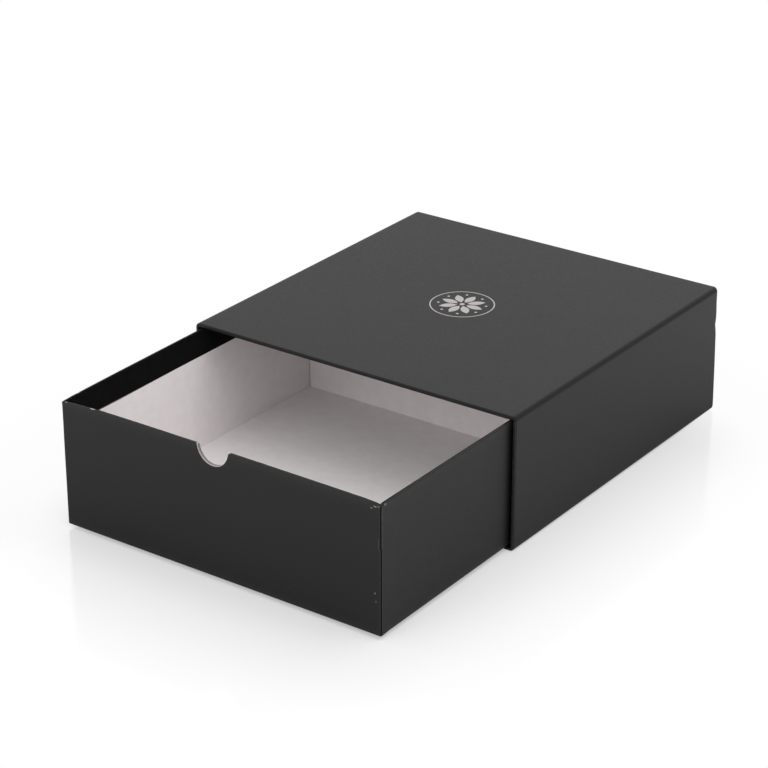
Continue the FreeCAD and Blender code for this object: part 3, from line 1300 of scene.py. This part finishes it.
    def notch_cutter(self) -> Object:
        """Make a solid for the notch, flared through both sheets so that their cores show.

        Returns:
            The cutter.
        """
        depths = (-self.cut_overshoot, 0.0, self.paper)
        depths += (self.wall - self.paper, self.wall, self.wall + self.cut_overshoot)
        shape = bmesh.new()
        rows = []
        for depth in depths:
            grown = 0.0 if self.paper <= depth <= self.wall - self.paper else self.cut_chamfer
            outline = [self.worn(point) for point in self.notch_outline(grown)]
            ends = [Vector((outline[n].x, 0.0, self.high.z + self.cut_above)) for n in (0, -1)]
            outline = [ends[0], *outline, ends[1]]
            y = self.low.y + depth
            rows.append([shape.verts.new(Vector((p.x, y, p.z)) * MM) for p in outline])
        count = len(rows[0])
        for near, far in zip(rows, rows[1:]):
            for n in range(count):
                after = (n + 1) % count
                shape.faces.new((near[n], far[n], far[after], near[after]))
        shape.faces.new(rows[0])
        shape.faces.new(rows[-1][::-1])
        bmesh.ops.recalc_face_normals(shape, faces=shape.faces[:])
        return new_object("notch_cutter", to_mesh(shape, "notch_cutter", PAPER_CORE))

    def layer_of(self, middle: Vector, layer: Layer) -> Layer | None:
        """Show the paper's bare back in the joints.

        Args:
            middle: A face's middle.
            layer: Its ring's layer.

        Returns:
            What the face shows.
        """
        upright = self.low.z + self.edge_radius < middle.z < self.high.z - self.joint_below_rim
        start, end = self.joint(middle.z)
        return Layer.BARE if upright and start < self.corner_turn(middle) < end else layer

    def cut_notch(self, piece: Object) -> Object:
        """Cut the thumb notch through the wrap.

        Args:
            piece: The wrap.

        Returns:
            The same piece.
        """
        cutter = self.notch_cutter()
        cut = piece.modifiers.new("thumb notch", "BOOLEAN")
        cut.object = cutter
        cut.operation = "DIFFERENCE"
        cut.solver = "EXACT"
        cut.material_mode = "TRANSFER"
        bake(piece)
        bpy.data.objects.remove(cutter)
        return piece

    def make(self) -> None:
        """Build the wrap, and finish the boards and papers that stay."""
        self.hand_over(smooth(self.cut_notch(self.loft())), Slot.BLACK_WRAP, "drawer_wrap")
        along = self.left_rim.places() + self.right_rim.places() + self.low_right_fold.places()
        places = (self.front_rim.places(), along, self.rim_settles)
        cuts = [(axis, place) for axis, course in enumerate(places) for place in course]
        self.bend_boards(cuts, "front", "left", "right")
        bends = [(1, place) for place in self.left_lining_top.places()] + [(2, self.lining_bends)]
        lining = worn_sheet("drawer_left_lining", WHITE_LINING, self.trimmed, bends)
        self.hand_over(lining, Slot.WHITE_LINING, "drawer_left_lining")
        self.dress(GREYBOARD, "_board", "bottom", "back")
        self.dress(WHITE_LINING, "_lining", "floor", "front", "back", "right")
        self.dress(KRAFT, "_tape", "front_left", "front_right", "back_left", "back_right")


# ---- studio ----


@dataclass(frozen=True)
class WhiteGlossAcrylic(Finish):
    """A cast acrylic table top, white and polished.

    The eye sees white, a soft grey patch of shade round the box, and in the polish a faint
    mirror of the box that fades away from it.
    """

    name: str = "white_gloss_acrylic"
    lift: float = 0.44  # how far the shaded table glows
    polish: float = 0.12
    mirror: float = 0.18
    mirror_fade: float = 145.0
    white_from: float = 20.0  # how far from the box the shade begins to clear
    white_at: float = 92.0
    white_lean: tuple[float, float] = (30.0, -68.0)  # the grey patch lies to the front right
    shade_margin: float = 15.0  # how far the patch and the shade end inside the box's outline
    shade_lean: tuple[float, float] = (-20.0, -25.0)  # the painted shade falls to the front left
    shade: float = 0.57  # painted shade: the table beside the box, as the box's gloss sees it
    open_table: float = 0.87  # the same table past the painted shade
    shade_reach: float = 200.0

    def away_from_box(self, add: Add, place: NodeSocket, lean: tuple[float, float]) -> Node:
        """Measure how far a place on the table lies from the box's outline.

        Args:
            add: Adds a node to the material's tree.
            place: Object coordinates, in metres.
            lean: How far the outline is shifted, in millimetres.

        Returns:
            The distance, in metres.
        """
        sleeve, drawer = corners("sleeve_wrap"), corners("drawer_wrap")
        low_y, high_y = drawer[0].y, sleeve[1].y
        centre = Vector((lean[0], (low_y + high_y) / 2 + lean[1], 0.0)) * MM
        half = Vector((sleeve[1].x, (high_y - low_y) / 2, 0.0))
        half = (half - Vector((self.shade_margin, self.shade_margin, 0.0))) * MM
        off = add("VectorMath", place, centre, operation="SUBTRACT")
        off = add("VectorMath", off, operation="ABSOLUTE")
        off = add("VectorMath", off, half, operation="SUBTRACT")
        off = add("VectorMath", off, Vector(), operation="MAXIMUM")
        return add("VectorMath", off, operation="LENGTH")

    def lay(self, add: Add, place: NodeSocket) -> Node:
        """Lay the shade, the white and the fading mirror.

        Args:
            add: Adds a node to the material's tree.
            place: Object coordinates, in metres.

        Returns:
            The shader node.
        """
        away = self.away_from_box(add, place, self.shade_lean)
        grey = self.away_from_box(add, place, self.white_lean)
        clear = {"From_Min": self.white_from * MM, "From_Max": self.white_at * MM, "To_Min": self.lift}
        white = add("MapRange", grey, interpolation_type="SMOOTHSTEP", **clear)
        shine = add("MapRange", away, From_Max=self.mirror_fade * MM, To_Min=self.mirror, To_Max=0.0)
        lifted = add("MixShader", white, add("BsdfDiffuse", WHITE), add("Emission", WHITE))
        gloss = add("BsdfAnisotropic", Roughness=self.polish)
        polished = add("MixShader", shine, lifted, gloss)
        # painted shade: the table that the box's gloss and the bounced light see is coloured darker near
        # the box
        tones = {"To_Min": self.shade, "To_Max": self.open_table}
        plain = add("BsdfDiffuse", add("MapRange", away, From_Max=self.shade_reach * MM, **tones))
        return add("MixShader", add("LightPath").outputs["Is Camera Ray"], plain, polished)


@dataclass(frozen=True)
class Softbox:
    """A square soft light: its place and its power in watts."""

    name: str
    place: Place
    power: float
    size: float = 1500.0


@dataclass
class Studio:
    """A pale glossy table, a white room, three soft lights and the camera."""

    target: Place = (-0.2, -84.7, 63.5)
    azimuth: float = 35.556
    elevation: float = 24.787
    distance: float = 1546.6
    lens: float = 118.54
    sensor: float = 36.0
    clip: tuple[float, float] = (0.05, 50.0)  # metres
    room_light: float = 0.72
    ceiling: float = 0.5  # how bright the ceiling is in the gloss, where the walls are one
    ceiling_from: float = 0.42  # sine of the height at which the walls begin to darken
    ceiling_at: float = 0.75
    flag: float = 0.4  # how bright the black flag at the right leaves the room in the gloss
    flag_from: float = 0.1
    flag_at: float = 0.5
    lamps: tuple[Softbox, ...] = (
        Softbox("right_softbox", (900.0, -300.0, 1600.0), 12.9),
        Softbox("high_front_softbox", (0.0, -2000.0, 1600.0), 10.7),
        Softbox("left_front_softbox", (-900.0, -2300.0, 850.0), 9.5),
    )
    table_size: float = 8000.0

    def camera(self) -> None:
        """Set the camera up at its viewing angle, level and unshifted."""
        side, rise = math.radians(self.azimuth), math.radians(self.elevation)
        out = math.cos(rise)
        back = Vector((math.sin(side) * out, -math.cos(side) * out, math.sin(rise)))
        data = bpy.data.cameras.new("studio_camera")
        data.lens = self.lens
        data.sensor_width = self.sensor
        data.clip_start, data.clip_end = self.clip
        camera = new_object("studio_camera", data)
        camera.location = (Vector(self.target) + back * self.distance) * MM
        camera.rotation_mode = "QUATERNION"
        camera.rotation_quaternion = (-back).to_track_quat("-Z", "Y")
        bpy.context.scene.camera = camera

    def light(self) -> None:
        """Hang the softboxes, turned towards the box and kept out of its gloss."""
        for box in self.lamps:
            data = bpy.data.lights.new(box.name, "AREA")
            data.shape = "SQUARE"
            data.size = box.size * MM
            data.energy = box.power
            lamp = new_object(box.name, data)
            lamp.location = Vector(box.place) * MM
            away = Vector(box.place) - Vector(self.target)
            lamp.rotation_mode = "QUATERNION"
            lamp.rotation_quaternion = away.to_track_quat("Z", "Y")
            lamp.visible_glossy = False
            lamp.visible_camera = False

    def room(self) -> None:
        """Fill the world: seen white, mirrored with a greyer ceiling, and a soft plain light."""
        world = bpy.data.worlds.new("white_room")
        world.use_nodes = True
        world.node_tree.nodes.clear()
        add = partial(add_node, world.node_tree)
        path = add("LightPath").outputs
        axes = add("SeparateXYZ", add("TexCoord").outputs["Generated"]).outputs
        ceiling = {"From_Min": self.ceiling_from, "From_Max": self.ceiling_at}
        walls = add("MapRange", axes["Z"], To_Min=1.0, To_Max=self.ceiling, **ceiling)
        flag = {"From_Min": self.flag_from, "From_Max": self.flag_at}
        flagged = add("MapRange", axes["X"], To_Min=walls, To_Max=self.flag, **flag)
        mirrored = add("Math", path["Is Glossy Ray"], path["Is Transmission Ray"], operation="MAXIMUM")
        indirect = add("MapRange", mirrored, To_Min=self.room_light, To_Max=flagged)
        light = add("MapRange", path["Is Camera Ray"], To_Min=indirect, To_Max=1.0)
        add("OutputWorld", add("Background", WHITE, Strength=light))
        bpy.context.scene.world = world

    def table(self) -> None:
        """Lay the table, open under the sleeve's flat base so that no two faces coincide."""
        half = self.table_size / 2
        low, high = corners("sleeve_wrap")
        edge = Sleeve.edge_radius
        base = (low.x + edge, low.y + Sleeve.mouth_radius, high.x - edge, high.y - edge)
        points = [
            (x * MM, y * MM, 0.0)
            for x0, y0, x1, y1 in ((-half, -half, half, half), base)
            for x, y in ((x0, y0), (x1, y0), (x1, y1), (x0, y1))
        ]
        sides = [(n, (n + 1) % 4, (n + 1) % 4 + 4, n + 4) for n in range(4)]
        mesh = bpy.data.meshes.new("white_table")
        mesh.from_pydata(points, [], sides)
        mesh.materials.append(WhiteGlossAcrylic().material())
        new_object("white_table", mesh)

    def set_up(self) -> None:
        """Build the whole studio."""
        self.camera()
        self.light()
        self.room()
        self.table()
        bpy.context.scene.view_settings.view_transform = "Standard"
        log.info("studio: camera, softboxes, white room and table")


def main() -> None:
    """Build the studio, the sleeve and the drawer, and keep both boxes."""
    logging.basicConfig(level=logging.INFO, format="%(name)s: %(message)s")
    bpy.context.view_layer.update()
    Studio().set_up()
    Sleeve().make()
    Drawer().make()


if __name__ == "__main__":
    main()
